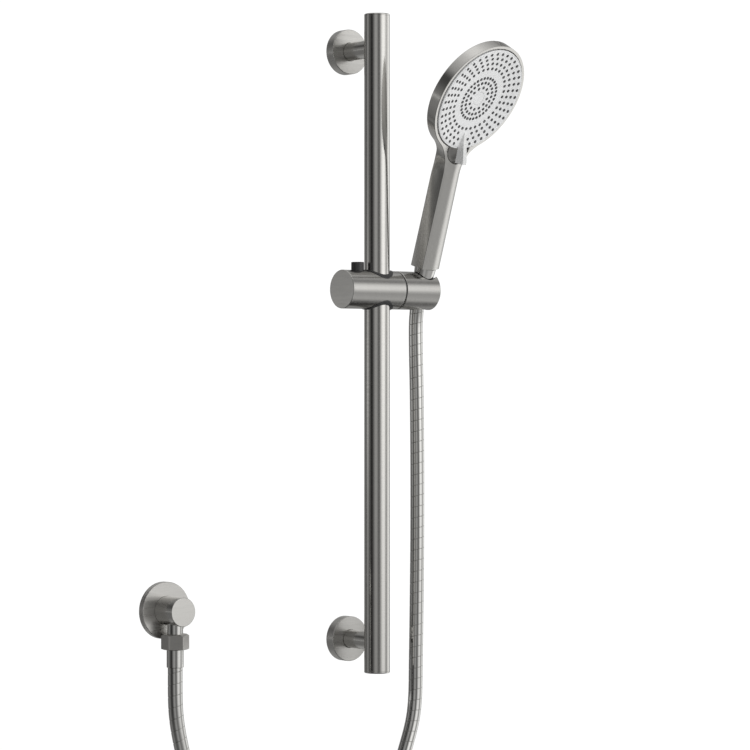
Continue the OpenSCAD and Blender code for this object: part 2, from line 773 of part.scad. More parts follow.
module check_valve_spring() {
    color(STEEL) elbow_drop() translate([0, 0, -27]) coil_spring(2.2, 0.3, 7.1, 4);
}
module hose_nut() {
    turn = -27; // so that one corner faces front left
    color(NICKEL) elbow_drop() difference() {
        translate([0, 0, nut_low]) rotate([0, 0, turn])
            cylinder(r = nut_af / 2 / cos(30), h = nut_top - nut_low, $fn = 6);
        up_bar(thread_r + 0.06, nut_low + 2.5, ROD);
        up_bar(tail_r + 0.1, -ROD, 0);
    }
}
module outlet_tail() {
    color(BRASS) elbow_drop() difference() {
        union() {
            up_bar(9, nut_low + 2.6, nut_low + 3.7);
            up_bar(tail_r, outlet_ferrule_low, nut_low + 2.6);
        }
        up_bar(4.5, -ROD, 0);
    }
}
module outlet_washer() color(SILICONE) elbow_drop() up_tube(9, 5, nut_low + 3.7, nut_low + 5.35);
module outlet_ferrule() {
    color(NICKEL) elbow_drop() up_tube(8, tail_r + fit, outlet_ferrule_low, nut_low - gap);
}

riser_rail();
rail_top_cap();
rail_bottom_cap();
upper_flange();
upper_post();
upper_wall_base();
upper_grub_screw();
upper_rail_insert();
upper_post_screw();
lower_flange();
lower_post();
lower_wall_base();
lower_grub_screw();
lower_rail_insert();
lower_post_screw();
slider_body();
slider_end_cap();
rail_bush();
release_button();
button_spring();
brake_shoe();
brake_pad();
friction_washer();
pivot_bolt();
tension_washer();
holder_body();
socket_liner();
handset_shell();
waterway_core();
flow_restrictor();
flow_chamber();
diverter_seal();
rim_seal();
face_plate();
centre_cap();
face_screw();
outer_nozzles();
inner_nozzles();
face_back_plate();
diverter_disc();
selector_lever();
hose_cone_nut();
hose_washer();
hose_tail();
hose_tail_ferrule();
hose_holder_end();
hose_slider_leg();
hose_outlet_leg();
outlet_rose();
outlet_elbow();
check_valve_cage();
check_valve_poppet();
check_valve_spring();
outlet_ferrule();
outlet_tail();
outlet_washer();
hose_nut();
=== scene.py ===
import json
import math

import bmesh
import bpy
from mathutils import Matrix, Vector


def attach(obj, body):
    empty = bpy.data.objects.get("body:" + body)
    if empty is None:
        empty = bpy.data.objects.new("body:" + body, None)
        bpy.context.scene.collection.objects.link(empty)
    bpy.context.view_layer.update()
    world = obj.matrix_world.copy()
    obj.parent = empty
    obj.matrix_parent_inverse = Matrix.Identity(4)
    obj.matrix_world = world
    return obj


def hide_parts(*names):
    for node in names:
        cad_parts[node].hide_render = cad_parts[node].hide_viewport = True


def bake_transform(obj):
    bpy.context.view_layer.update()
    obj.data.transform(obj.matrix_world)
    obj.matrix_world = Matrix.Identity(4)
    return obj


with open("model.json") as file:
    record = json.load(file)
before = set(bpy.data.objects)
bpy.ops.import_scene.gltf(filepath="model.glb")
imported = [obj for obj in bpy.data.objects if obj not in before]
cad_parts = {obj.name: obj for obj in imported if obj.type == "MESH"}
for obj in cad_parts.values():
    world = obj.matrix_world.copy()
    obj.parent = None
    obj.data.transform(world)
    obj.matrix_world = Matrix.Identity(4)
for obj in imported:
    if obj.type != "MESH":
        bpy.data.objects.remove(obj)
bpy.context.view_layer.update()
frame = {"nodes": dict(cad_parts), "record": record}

# A wall shower set. Lengths in the helpers below are in millimetres, and every mesh is made in metres.
MM = 0.001
TAU = 2 * math.pi
scene = bpy.context.scene


# ---------------------------------------------------------------- camera
camera = bpy.data.objects.new("camera", bpy.data.cameras.new("camera"))
camera.data.lens = 134.4
camera.data.sensor_width = 36
camera.location = (-1.7213, -2.1595, 0.2593)
camera.rotation_euler = (math.radians(90), 0, math.radians(-39.2))
scene.collection.objects.link(camera)
scene.camera = camera


# ---------------------------------------------------------------- frames, in millimetres
RAIL_Y = -52
SLIDER_Z = 342
HOLDER_X = 54.9
HOLDER_TILT = 18.9  # degrees out from the wall
HANDSET_TURN = 9  # degrees about the handset's own axis
OUTLET_REACH = 20.5  # from the wall to the axis of the hose's lower end


def shift(x, y, z):
    return Matrix.Translation((x, y, z))


def turn(degrees, axis):
    return Matrix.Rotation(math.radians(degrees), 4, axis)


BARREL = shift(0, RAIL_Y, SLIDER_Z)
HOLDER = shift(HOLDER_X, RAIL_Y, SLIDER_Z) @ turn(HOLDER_TILT, "X")
HANDSET = HOLDER @ turn(HANDSET_TURN, "Z")
HEAD_ANGLE = 13.8
# the spray face: x to its right, y down it, and z is the depth behind it
FACE = HANDSET @ shift(0, -22.95, 199.7) @ turn(HEAD_ANGLE - 90, "X")
OUTLET = shift(-217, 0, 39)
DROP = OUTLET @ shift(0, -OUTLET_REACH, 0)
ALONG_X = turn(90, "Y")  # takes +Z to +X
OUT = turn(90, "X")  # takes +Z to -Y, out of the wall


# ---------------------------------------------------------------- mesh helpers
TINY = 1e-6
CORNER_REACH = 0.45  # the share of an edge that a rounded corner may use up
CUT_SHARP = 32  # degrees, for pieces that were cut
WELD = 0.00002  # metres


def circle(bm, r, z, sides, x=0.0, y=0.0):
    """A ring of vertices round the Z axis, or round a line beside it."""
    return [bm.verts.new((x + r * math.cos(TAU * k / sides), y + r * math.sin(TAU * k / sides), z))
            for k in range(sides)]


def bridge(bm, a, b):
    """Joins two rings of equally many vertices with a band of faces."""
    count = len(a)
    return [bm.faces.new((a[k], a[(k + 1) % count], b[(k + 1) % count], b[k])) for k in range(count)]


def sharp_by_angle(bm, degrees):
    limit = math.radians(degrees)
    for face in bm.faces:
        face.smooth = True
    for edge in bm.edges:
        edge.smooth = len(edge.link_faces) == 2 and edge.calc_face_angle(0) < limit


def to_object(name, bm, matrix, body, sharp=40, weighted=True):
    """Turns a bmesh in millimetres into a piece that rides on a body."""
    bmesh.ops.recalc_face_normals(bm, faces=bm.faces)
    sharp_by_angle(bm, sharp)
    bm.transform(Matrix.Scale(MM, 4) @ matrix)
    mesh = bpy.data.meshes.new(name)
    bm.to_mesh(mesh)
    bm.free()
    piece = bpy.data.objects.new(name, mesh)
    scene.collection.objects.link(piece)
    if weighted:
        piece.modifiers.new("normals", "WEIGHTED_NORMAL").keep_sharp = True
    if body:
        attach(piece, body)
    return piece


def softened(profile, radius=0.3, steps=3, skip=()):
    """Rounds the inner corners of an open profile of (r, z) points."""
    result = [profile[0]]
    for i in range(1, len(profile) - 1):
        before, corner, after = (Vector(profile[k]) for k in (i - 1, i, i + 1))
        first, second = before - corner, after - corner
        if i in skip or first.length < TINY or second.length < TINY:
            result.append(profile[i])
            continue
        inset = min(radius, first.length * CORNER_REACH, second.length * CORNER_REACH)
        start, end = corner + first.normalized() * inset, corner + second.normalized() * inset
        for k in range(steps + 1):
            t = k / steps
            point = start * (1 - t) ** 2 + corner * 2 * t * (1 - t) + end * t * t
            result.append((point.x, point.y))
    result.append(profile[-1])
    return result


def lathe_mesh(profile, segments=96, closed=False):
    """A bmesh turned from (r, z) points about Z. A point with r = 0 closes an end with one flat face."""
    bm = bmesh.new()
    grain = bm.loops.layers.uv.new("UVMap")
    caps = [k for k in (0, len(profile) - 1) if not closed and profile[k][0] < TINY]
    rings, reach, lengths = [], 0.0, []
    for k, (r, z) in enumerate(profile):
        if k:
            reach += math.dist(profile[k], profile[k - 1])
        if k in caps:
            continue
        rings.append(circle(bm, r, z, segments))
        lengths.append((reach, r))
    pairs = list(zip(range(len(rings) - 1), range(1, len(rings))))
    if closed:
        pairs.append((len(rings) - 1, 0))
    for a, b in pairs:
        wide = TAU * max(lengths[a][1], lengths[b][1])
        for i, face in enumerate(bridge(bm, rings[a], rings[b])):
            spots = ((a, i), (a, i + 1), (b, i + 1), (b, i))
            for loop, (ring, step) in zip(face.loops, spots):
                loop[grain].uv = (wide * step / segments, lengths[ring][0])
    for k in caps:
        ring = rings[0 if k == 0 else -1]
        face = bm.faces.new(ring)
        for loop in face.loops:
            loop[grain].uv = (loop.vert.co.x, loop.vert.co.y)
    return bm


def lathe(name, profile, matrix, body, radius=0.3, segments=96, closed=False, sharp=40,
          skip=()):
    """A turned piece. Corners of an open profile are rounded by radius, apart from those in skip."""
    points = profile if closed else softened(profile, radius, skip=skip)
    return to_object(name, lathe_mesh(points, segments, closed), matrix, body, sharp)


def bar(r, z0, z1):
    """Profile of a plain round bar, capped at both ends."""
    return [(0, z0), (r, z0), (r, z1), (0, z1)]


def tube(r, bore, z0, z1, chamfer=0.2):
    """Closed profile of a tube with its four edges chamfered."""
    inner, outer = bore + chamfer, r - chamfer
    low, high = z0 + chamfer, z1 - chamfer
    return [(bore, low), (bore, high), (inner, z1), (outer, z1),
            (r, high), (r, low), (outer, z0), (inner, z0)]


def cut(piece, *tools, keep="DIFFERENCE"):
    """Takes the tools, which are bmeshes in metres, out of a piece, and keeps the result as its mesh."""
    piece.modifiers.clear()
    for bm in tools:
        mesh = bpy.data.meshes.new("tool")
        bmesh.ops.recalc_face_normals(bm, faces=bm.faces)
        bm.to_mesh(mesh)
        bm.free()
        tool = bpy.data.objects.new("tool", mesh)
        scene.collection.objects.link(tool)
        boolean = piece.modifiers.new("cut", "BOOLEAN")
        boolean.object = tool
        boolean.operation = keep
        boolean.solver = "EXACT"
        bpy.context.view_layer.update()
        evaluated = piece.evaluated_get(bpy.context.evaluated_depsgraph_get())
        result = bpy.data.meshes.new_from_object(evaluated)
        piece.modifiers.clear()
        piece.data = result
        bpy.data.objects.remove(tool)
    bm = bmesh.new()
    bm.from_mesh(piece.data)
    bmesh.ops.remove_doubles(bm, verts=bm.verts, dist=WELD)
    sharp_by_angle(bm, CUT_SHARP)
    bm.to_mesh(piece.data)
    bm.free()
    piece.modifiers.new("normals", "WEIGHTED_NORMAL").keep_sharp = True
    return piece


def placed(bm, matrix):
    """A bmesh in millimetres in one of the frames above, moved to metres in the whole part's frame."""
    bm.transform(Matrix.Scale(MM, 4) @ matrix)
    return bm


# ---------------------------------------------------------------- hose
HOSE_SKIN = 6.9  # radius between the turns of the groove
PITCH = 10.6
# one turn of the groove and of the plain stretch after it: along the hose, and depth
TURN = ((0.0, 0.0), (0.12, 0.15), (0.3, 0.45), (0.45, 0.45), (0.63, 0.15), (0.75, 0.0),
        (3.4, 0), (5.8, 0), (8.2, 0))
HOSE_SIDES = 32
HOSE_WELD = 0.01
CORD_STEP = 2  # spacing of the points along the hose's centreline that hose_piece returns
# the centreline, from the outlet's ferrule to the handset's tail
ROUTE = [
    (-217, -20.5, -13.3), (-217, -20.5, -28), (-217, -20.5, -42), (-216.2, -20.5, -57),
    (-213.8, -20.5, -72), (-210.5, -20.6, -86), (-206, -20.8, -104), (-198, -21.4, -131),
    (-188.5, -22.2, -162), (-179, -23, -195), (-169.5, -24, -228), (-160.5, -25, -259),
    (-151.8, -26, -287), (-143, -27, -310), (-133.2, -28.2, -325.4), (-120.4, -29.7, -337),
    (-105.6, -31.2, -344.4), (-86.2, -33, -347.3), (-66.8, -34.6, -346.2), (-50, -36, -343.2),
    (-32.6, -37.2, -336.6), (-16.4, -38.4, -326), (-2.6, -39.4, -312), (8.8, -40.4, -294),
    (16.4, -41.4, -272), (19.8, -42, -246), (20.8, -42.6, -214), (23, -43.2, -184),
    (27.4, -43.8, -156), (34.2, -44.2, -130), (42.5, -44.6, -106), (47.5, -44.8, -93),
    (51, -45, -81), (53.4, -45, -69), (54.7, -45, -50), (54.9, -45, -32), (55.8, -45.3, 30),
    (56.5, -45.5, 100), (56.6, -45.5, 170), (56, -45.3, 240), (55.3, -45, 275), (54.9, -45, 303),
    (54.9, -45, 311), (54.9, -45.4, 318), (54.9, -46.4, 324.8), (54.9, -48, 330.4),
]


def smooth_route(points, step=1.0, coarse=1.5, passes=60):
    """Evenly spaced points on a smooth curve through the route, and the curve's length.

    The curve is a Catmull-Rom spline in coarse steps, relaxed by some passes."""
    dense = []
    pts = [Vector(p) for p in points]
    for i in range(len(pts) - 1):
        p0, p1, p2, p3 = pts[max(i - 1, 0)], pts[i], pts[i + 1], pts[min(i + 2, len(pts) - 1)]
        count = max(2, int((p2 - p1).length / coarse))
        for k in range(count):
            t = k / count
            dense.append(0.5 * (2 * p1 + (p2 - p0) * t + (2 * p0 - 5 * p1 + 4 * p2 - p3) * t * t
                                + (3 * p1 - p0 - 3 * p2 + p3) * t ** 3))
    dense.append(pts[-1])
    for _ in range(passes):
        middle = [(dense[i - 1] + dense[i] * 2 + dense[i + 1]) / 4 for i in range(1, len(dense) - 1)]
        dense = [dense[0]] + middle + [dense[-1]]
    lengths = [0.0]
    for a, b in zip(dense, dense[1:]):
        lengths.append(lengths[-1] + (b - a).length)
    count = round(lengths[-1] / step)
    even, k = [], 0
    for n in range(count + 1):
        target = lengths[-1] * n / count
        while k < len(dense) - 2 and lengths[k + 1] < target:
            k += 1
        span = lengths[k + 1] - lengths[k]
        even.append(dense[k].lerp(dense[k + 1], (target - lengths[k]) / span if span else 0))
    return even, lengths[-1]


CENTRE, HOSE_LENGTH = smooth_route(ROUTE)
SPACING = HOSE_LENGTH / (len(CENTRE) - 1)


def hose_frames():
    """Two directions across the hose at every point, carried along without twist."""
    across = Vector((1, 0, 0))
    frames = []
    for i in range(len(CENTRE)):
        ahead = (CENTRE[min(i + 1, len(CENTRE) - 1)] - CENTRE[max(i - 1, 0)]).normalized()
        across = (across - ahead * across.dot(ahead)).normalized()
        frames.append((across.copy(), ahead.cross(across)))
    return frames


FRAMES = hose_frames()


def hose_point(s, angle, r):
    """The spot at length s along the route, and at an angle and a distance from its centreline."""
    place = min(max(s / SPACING, 0), len(CENTRE) - 1)
    i = min(int(place), len(CENTRE) - 2)
    t = place - i
    centre = CENTRE[i].lerp(CENTRE[i + 1], t)
    a = FRAMES[i][0].lerp(FRAMES[i + 1][0], t)
    b = FRAMES[i][1].lerp(FRAMES[i + 1][1], t)
    return centre + r * (math.cos(angle) * a + math.sin(angle) * b)


def hose_piece(name, s0, s1):
    """A stretch of hose between two lengths along the route, with its spiral groove."""
    rows = [(number * PITCH + offset, depth)
            for number in range(int(s0 / PITCH) - 2, int(s1 / PITCH) + 2) for offset, depth in TURN]
    bm = bmesh.new()
    grain = bm.loops.layers.uv.new("UVMap")
    grid = []
    for s, depth in rows:
        line = []
        for i in range(HOSE_SIDES + 1):
            along = s + PITCH * i / HOSE_SIDES
            inside = min(max(along, s0), s1)
            line.append((inside, TAU * i / HOSE_SIDES, HOSE_SKIN - (depth if inside == along else 0)))
        grid.append(line)
    verts = {}

    def vert(key):
        s, angle, r = key
        spot = (round(s, 4), round(math.cos(angle), 5), round(math.sin(angle), 5), round(r, 4))
        if spot not in verts:
            verts[spot] = bm.verts.new(hose_point(s, angle, r))
        return verts[spot]

    for a, b in zip(grid, grid[1:]):
        for i in range(HOSE_SIDES):
            corners = [a[i], a[i + 1], b[i + 1], b[i]]
            ring = []
            for key in corners:
                v = vert(key)
                if v not in ring:
                    ring.append(v)
            if len(ring) < 3 or max(k[0] for k in corners) <= s0 or min(k[0] for k in corners) >= s1:
                continue
            try:
                face = bm.faces.new(ring)
            except ValueError:
                continue
            for loop in face.loops:
                loop[grain].uv = (0, 0)
    bmesh.ops.remove_doubles(bm, verts=bm.verts, dist=HOSE_WELD)
    ends = [e for e in bm.edges if len(e.link_faces) == 1]
    bmesh.ops.holes_fill(bm, edges=ends, sides=0)
    piece = to_object(name, bm, Matrix.Identity(4), None, 38, weighted=False)
    count = max(2, round((s1 - s0) / CORD_STEP))
    path = [hose_point(s0 + (s1 - s0) * k / count, 0, 0) * MM for k in range(count + 1)]
    return piece, path


def reach_at(z):
    """Length along the route at which its slider leg passes height z, in millimetres."""
    for i in range(len(CENTRE) - 1, 0, -1):
        if CENTRE[i].z >= z >= CENTRE[i - 1].z and CENTRE[i].x > 0:
            return i * SPACING
    return 0


MID_S, TIP_S = reach_at(200), reach_at(303)
hose_main, main_path = hose_piece("hose", 0, MID_S)
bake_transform(hose_main)
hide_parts("hose_outlet_leg", "hose_slider_leg")
hose_mid, mid_path = hose_piece("hose_upper_stretch", MID_S, TIP_S)
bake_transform(hose_mid)
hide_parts("hose_slider_leg")
hose_tip, _ = hose_piece("hose_top_end", TIP_S, HOSE_LENGTH)
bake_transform(hose_tip)
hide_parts("hose_holder_end")


# ---------------------------------------------------------------- materials
GRAIN_DEPTH = 0.00002  # metres


def new_material(name, color, metallic, roughness, coat=0.0):
    material = bpy.data.materials.new(name)
    material.use_nodes = True
    shader = material.node_tree.nodes["Principled BSDF"]
    shader.inputs["Base Color"].default_value = (*color, 1)
    shader.inputs["Metallic"].default_value = metallic
    shader.inputs["Roughness"].default_value = roughness
    shader.inputs["Coat Weight"].default_value = coat
    return material, material.node_tree, shader


def node(tree, kind, values=None, **settings):
    """A new node, with settings of its own and values for its inputs."""
    fresh = tree.nodes.new(kind)
    for key, value in settings.items():
        setattr(fresh, key, value)
    for key, value in (values or {}).items():
        fresh.inputs[key].default_value = value
    return fresh


def stretched_noise(tree, source, scale, detail=2.0):
    """Noise in a space that is scaled differently along each axis, for lines and grain."""
    mapping = node(tree, "ShaderNodeMapping", {"Scale": scale})
    noise = node(tree, "ShaderNodeTexNoise", {"Scale": 1.0, "Detail": detail})
    tree.links.new(source, mapping.inputs["Vector"])
    tree.links.new(mapping.outputs["Vector"], noise.inputs["Vector"])
    return noise.outputs["Fac"]


def ramp(tree, source, low, high, start=0.3, end=0.7):
    """Low where the source is at start, high where it is at end, and even in between."""
    span = node(tree, "ShaderNodeMapRange",
                {"From Min": start, "From Max": end, "To Min": low, "To Max": high})
    tree.links.new(source, span.inputs["Value"])
    return span.outputs["Result"]


def tint(tree, source, color, shader, darker):
    """Varies the colour a little, from a darker tone to a lighter one."""
    dark, light = [c * darker for c in color], [min(1, c * 1.03) for c in color]
    mix = node(tree, "ShaderNodeMix", data_type="RGBA")
    mix.inputs[6].default_value = (*dark, 1)
    mix.inputs[7].default_value = (*light, 1)
    tree.links.new(source, mix.inputs[0])
    tree.links.new(mix.outputs[2], shader.inputs["Base Color"])


def bump(tree, source, shader, strength):
    relief = node(tree, "ShaderNodeBump", {"Strength": strength, "Distance": GRAIN_DEPTH})
    tree.links.new(source, relief.inputs["Height"])
    tree.links.new(relief.outputs["Normal"], shader.inputs["Normal"])


def brushed_metal(name, color, roughness, lines, depth=0.12, spread=0.05):
    """Metal with fine brush lines. lines is how many there are to the metre along each axis."""
    material, tree, shader = new_material(name, color, 1.0, roughness)
    where = node(tree, "ShaderNodeTexCoord").outputs["Object"]
    fine = stretched_noise(tree, where, lines, 3.0)
    wide = stretched_noise(tree, where, [v * 0.12 for v in lines], 2.0)
    tree.links.new(ramp(tree, wide, roughness - spread, roughness + spread), shader.inputs["Roughness"])
    tint(tree, ramp(tree, fine, 0, 1), color, shader, darker=0.95)
    bump(tree, fine, shader, depth)
    return material


NICKEL = (0.598, 0.589, 0.570)
RINGS_ROUND_Z, RINGS_ROUND_X = (80, 80, 5000), (5000, 80, 80)
LEVEL_LINES, UPRIGHT_LINES = (60, 500, 4000), (900, 900, 60)
nickel_round_z = brushed_metal("nickel_upright", NICKEL, 0.15, RINGS_ROUND_Z, 0.05, 0.03)
nickel_round_x = brushed_metal("nickel_crosswise", NICKEL, 0.17, RINGS_ROUND_X, 0.08, 0.03)
nickel_level = brushed_metal("nickel_level", NICKEL, 0.17, LEVEL_LINES, 0.04, 0.03)
nickel_handset = brushed_metal("nickel_handset", NICKEL, 0.15, UPRIGHT_LINES, 0.0, 0.02)
# the handle is rougher than the head: its roughness, the head's, and the heights in metres between them
GRIP_ROUGHNESS, HEAD_ROUGHNESS, GRIP_TOP, HEAD_FOOT = 0.24, 0.15, 0.44, 0.485
grip = nickel_handset.node_tree
grip_place = node(grip, "ShaderNodeSeparateXYZ")
grip.links.new(node(grip, "ShaderNodeTexCoord").outputs["Object"], grip_place.inputs[0])
grip.links.new(ramp(grip, grip_place.outputs["Z"], GRIP_ROUGHNESS, HEAD_ROUGHNESS, GRIP_TOP, HEAD_FOOT),
               grip.nodes["Principled BSDF"].inputs["Roughness"])
nickel_rose = brushed_metal("nickel_rose", NICKEL, 0.3, LEVEL_LINES, 0.03, 0.04)
nickel_nut = brushed_metal("nickel_nut", (0.52, 0.51, 0.49), 0.3, RINGS_ROUND_Z, 0.03, 0.03)
# a dark nickel that paints shade into the scoop behind the lever and into the gap round the face plate
nickel_painted_shade = brushed_metal("nickel_painted_shade", (0.15, 0.147, 0.141), 0.3, UPRIGHT_LINES, 0.0, 0.03)
polished = brushed_metal("polished_steel", (0.66, 0.655, 0.64), 0.10, (200, 200, 2500), 0.03, 0.02)
hose_metal = brushed_metal("hose_steel", (0.63, 0.625, 0.61), 0.05, (900, 900, 900), 0.0, 0.01)
brass = brushed_metal("brass", (0.72, 0.55, 0.26), 0.3, (900, 900, 900), 0.08, 0.06)
steel = brushed_metal("steel", (0.55, 0.55, 0.55), 0.32, (1500, 1500, 1500), 0.1, 0.08)


def moulded(name, color, roughness, grain=2500, depth=0.15, coat=0.0):
    """Moulded plastic or silicone: a fine grain, and a slight change of tone and gloss."""
    material, tree, shader = new_material(name, color, 0.0, roughness, coat)
    where = node(tree, "ShaderNodeTexCoord").outputs["Object"]
    fine = stretched_noise(tree, where, (grain,) * 3, 2.0)
    broad = stretched_noise(tree, where, (grain * 0.02,) * 3, 3.0)
    tree.links.new(ramp(tree, broad, roughness - 0.05, roughness + 0.05), shader.inputs["Roughness"])
    tint(tree, ramp(tree, broad, 0, 1), color, shader, darker=0.96)
    bump(tree, fine, shader, depth)
    return material


dark_plastic = moulded("dark_plastic", (0.028, 0.028, 0.029), 0.38)
plate_plastic = moulded("plate_plastic", (0.74, 0.745, 0.75), 0.33, 1800, 0.05, 0.2)
cap_plastic = moulded("cap_plastic", (0.74, 0.745, 0.75), 0.3, 1800, 0.05, 0.2)
lever_finish = moulded("lever_finish", (0.78, 0.782, 0.78), 0.28, 1800, 0.03)
lever_finish.node_tree.nodes["Principled BSDF"].inputs["Metallic"].default_value = 0.25
silicone = moulded("silicone", (0.045, 0.045, 0.048), 0.5, 3000, 0.2)
white_plastic = moulded("white_plastic", (0.78, 0.78, 0.76), 0.42)


def paint(piece, material):
    piece.data.materials.clear()
    piece.data.materials.append(material)
    for polygon in piece.data.polygons:
        polygon.material_index = 0


for hose_part in (hose_main, hose_mid, hose_tip):
    paint(hose_part, hose_metal)

# the CAD's own pieces, most of them out of sight, take a material by their slot
BY_SLOT = {"brushed_nickel": nickel_round_z, "plated_plastic": nickel_handset, "polished_steel": steel,
           "hose_metal": hose_metal, "brass": brass, "dark_plastic": dark_plastic,
           "white_plastic": white_plastic, "silicone": silicone, "face_plate_plastic": plate_plastic}
for subpart in frame["record"]["subparts"]:
    for place in frame["nodes"][subpart["node"]].material_slots:
        place.material = BY_SLOT[subpart["material_slot"]]
for place in frame["nodes"]["hose_tail_ferrule"].material_slots:
    place.material = polished


# ---------------------------------------------------------------- rail and brackets
def made(piece, material, *nodes):
    """Paints a piece and hides the CAD nodes that it stands for."""
    paint(piece, material)
    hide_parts(*nodes)
    return piece


RAIL = shift(0, RAIL_Y, 0)
RAIL_R, RAIL_FOOT, RAIL_TOP = 12.5, -28, 608
UPPER_BRACKET_Z = 577
made(lathe("rail", bar(RAIL_R, RAIL_FOOT, RAIL_TOP), RAIL, "wall_frame", 0.15),
     nickel_round_z, "riser_rail")
CAP = [(0, 0.05), (12.35, 0.05), (RAIL_R, 0.2), (RAIL_R, 1.3), (11.9, 2), (0, 2)]
for name, matrix, cad in (
        ("rail_cap_top", RAIL @ shift(0, 0, RAIL_TOP), "rail_top_cap"),
        ("rail_cap_bottom", RAIL @ shift(0, 0, RAIL_FOOT) @ turn(180, "X"), "rail_bottom_cap")):
    made(lathe(name, CAP, matrix, "wall_frame", 0.35, skip=(1, 2)), nickel_level, cad)

for level, height in (("lower", 0), ("upper", UPPER_BRACKET_Z)):
    at = shift(0, 0, height) @ OUT
    made(lathe(level + "_rose", [(20, 0), (22, 0), (22, 10.5), (8.8, 10.5), (8.8, 8.5), (20, 8.5)],
               at, "wall_frame", 0.6), nickel_rose, level + "_flange")
    made(lathe(level + "_arm", bar(8.75, 4, 49), at, "wall_frame", 0.3),
         nickel_level, level + "_post")


# ---------------------------------------------------------------- slider and holder
AXLE = BARREL @ ALONG_X
BUTTON = BARREL @ shift(-24.2, 0, 0)
BARREL_R = 18.75
COLLAR_R, COLLAR_BORE = 15.6, 12.56
COLLAR_REACH = 19.35  # how far the collar stands out from the barrel's axis


def round_tool(r, z0, z1, matrix, segments=96, r1=None):
    """A round tool for cutting, tapered when r1 is given."""
    return placed(lathe_mesh([(0, z0), (r, z0), (r if r1 is None else r1, z1), (0, z1)], segments), matrix)


def box_tool(x0, x1, y0, y1, z0, z1, matrix):
    bm = bmesh.new()
    bmesh.ops.create_cube(bm, size=1)
    bm.transform(Matrix.Translation(((x0 + x1) / 2, (y0 + y1) / 2, (z0 + z1) / 2))
                 @ Matrix.Diagonal((x1 - x0, y1 - y0, z1 - z0, 1)))
    return placed(bm, matrix)


slider = lathe("slider_barrel",
               [(0, -42.3), (BARREL_R, -42.3), (BARREL_R, 21.7), (18.3, 22.2), (0, 22.2)],
               AXLE, "slider", 0.25, 160)
cut(slider, round_tool(COLLAR_R + 0.05, -30, 30, BARREL), round_tool(6.5, 4, 30, BUTTON))
made(slider, nickel_round_x, "slider_body")
collar = lathe("rail_collar", tube(COLLAR_R, COLLAR_BORE, -20, 20), BARREL, "slider",
               segments=128, closed=True)
cut(collar, round_tool(COLLAR_REACH, -30, 30, AXLE), keep="INTERSECT")
made(collar, dark_plastic, "rail_bush")
made(lathe("slider_cap",
           [(0, -42.25), (18.7, -42.25), (BARREL_R, -42.4), (BARREL_R, -43.3), (18.35, -43.7), (0, -43.7)],
           AXLE, "slider", 0.2, 160, skip=(1, 2)), nickel_level, "slider_end_cap")
made(lathe("slider_seam", [(4.1, 22.25), (18.0, 22.25), (18.0, 23.4), (4.1, 23.4)],
           AXLE, "slider", 0.2, 128), dark_plastic, "friction_washer")
made(lathe("button", bar(6.2, 10, 26.5), BUTTON, "button", 0.7, 64),
     dark_plastic, "release_button")

holder = lathe("holder_barrel",
               [(0, 23.55), (18.3, 23.55), (BARREL_R, 24.0), (BARREL_R, 65.7), (0, 65.7)],
               AXLE, "holder", 0.5, 160)
CONE_FOOT, CONE_TOP = -4, 22
SOCKET_GAP = 1.7  # from the conical nut to the holder


def socket_radius(z):
    return 8.1 + 2.6 * (z - CONE_FOOT) / 28.7 + SOCKET_GAP


cut(holder,
    round_tool(socket_radius(CONE_FOOT), -30, -4.001, HOLDER),
    round_tool(socket_radius(CONE_FOOT), -4.002, CONE_TOP, HOLDER, r1=socket_radius(CONE_TOP)),
    box_tool(0, 40, -7.5, 7.5, -40, 40, HOLDER))
made(holder, nickel_round_x, "holder_body")


# ---------------------------------------------------------------- handset shell
def smoothstep(low, high, x):
    t = min(max((x - low) / (high - low), 0), 1)
    return t * t * (3 - 2 * t)


def soft_min(a, b, k):
    """The smaller of two numbers, with a rounded change from one to the other."""
    h = max(k - abs(a - b), 0) / k
    return min(a, b) - h * h * k / 4


def soft_max(a, b, k):
    return -soft_min(-a, -b, k)


HEAD_R = 57.5
RIM_FRONT, RIM_BACK = 1.3, 12.8  # depths behind the spray face
FILLET = 36  # in the outline, between the head and the handle
SLOPE = math.radians(HEAD_ANGLE)
AXIS_DEPTH = 23.63  # of the handle's axis, behind the face's centre
FLAT_HALF = 7.05  # half the depth of the handle's flat sides
BACK_HALF = 11.15  # from the handle's axis to the ridge of its back
RIDGE_LIMIT = 17.6  # the deepest that the ridge goes behind the head
FRONT_RISE, BACK_ROUND, SPINE_RISE, SPINE_HALF = 3.5, 0.9, 4.1, 13.0
HANDLE_END = 182
# radius and depth on the domed back of the head
DOME = ((0, 17.2), (18, 17.0), (38, 15.6), (50, 14.0), (56.5, 12.9), (60, 12.4))
# the stretches, down from the face's centre, where one shape turns into another
FRONT_CROWN, BACK_SPINE, BACK_CROWN = (50, 76), (24, 50), (56, 80)
BELLY_STARTS, BELLY_EASES = (58, 80), (90, 130)
SQUARED = (60, 110)
HANDLE_WIDENS = (70, 175)


def dome(r):
    for (r0, d0), (r1, d1) in zip(DOME, DOME[1:]):
        if r <= r1:
            t = (r - r0) / (r1 - r0)
            return d0 + (d1 - d0) * (t * t * (3 - 2 * t) * 0.4 + t * 0.6)
    return DOME[-1][1]


def handle_half(p):
    """Half the handle's width, p millimetres down from the face's centre."""
    return 11.95 + 0.65 * smoothstep(*HANDLE_WIDENS, p)


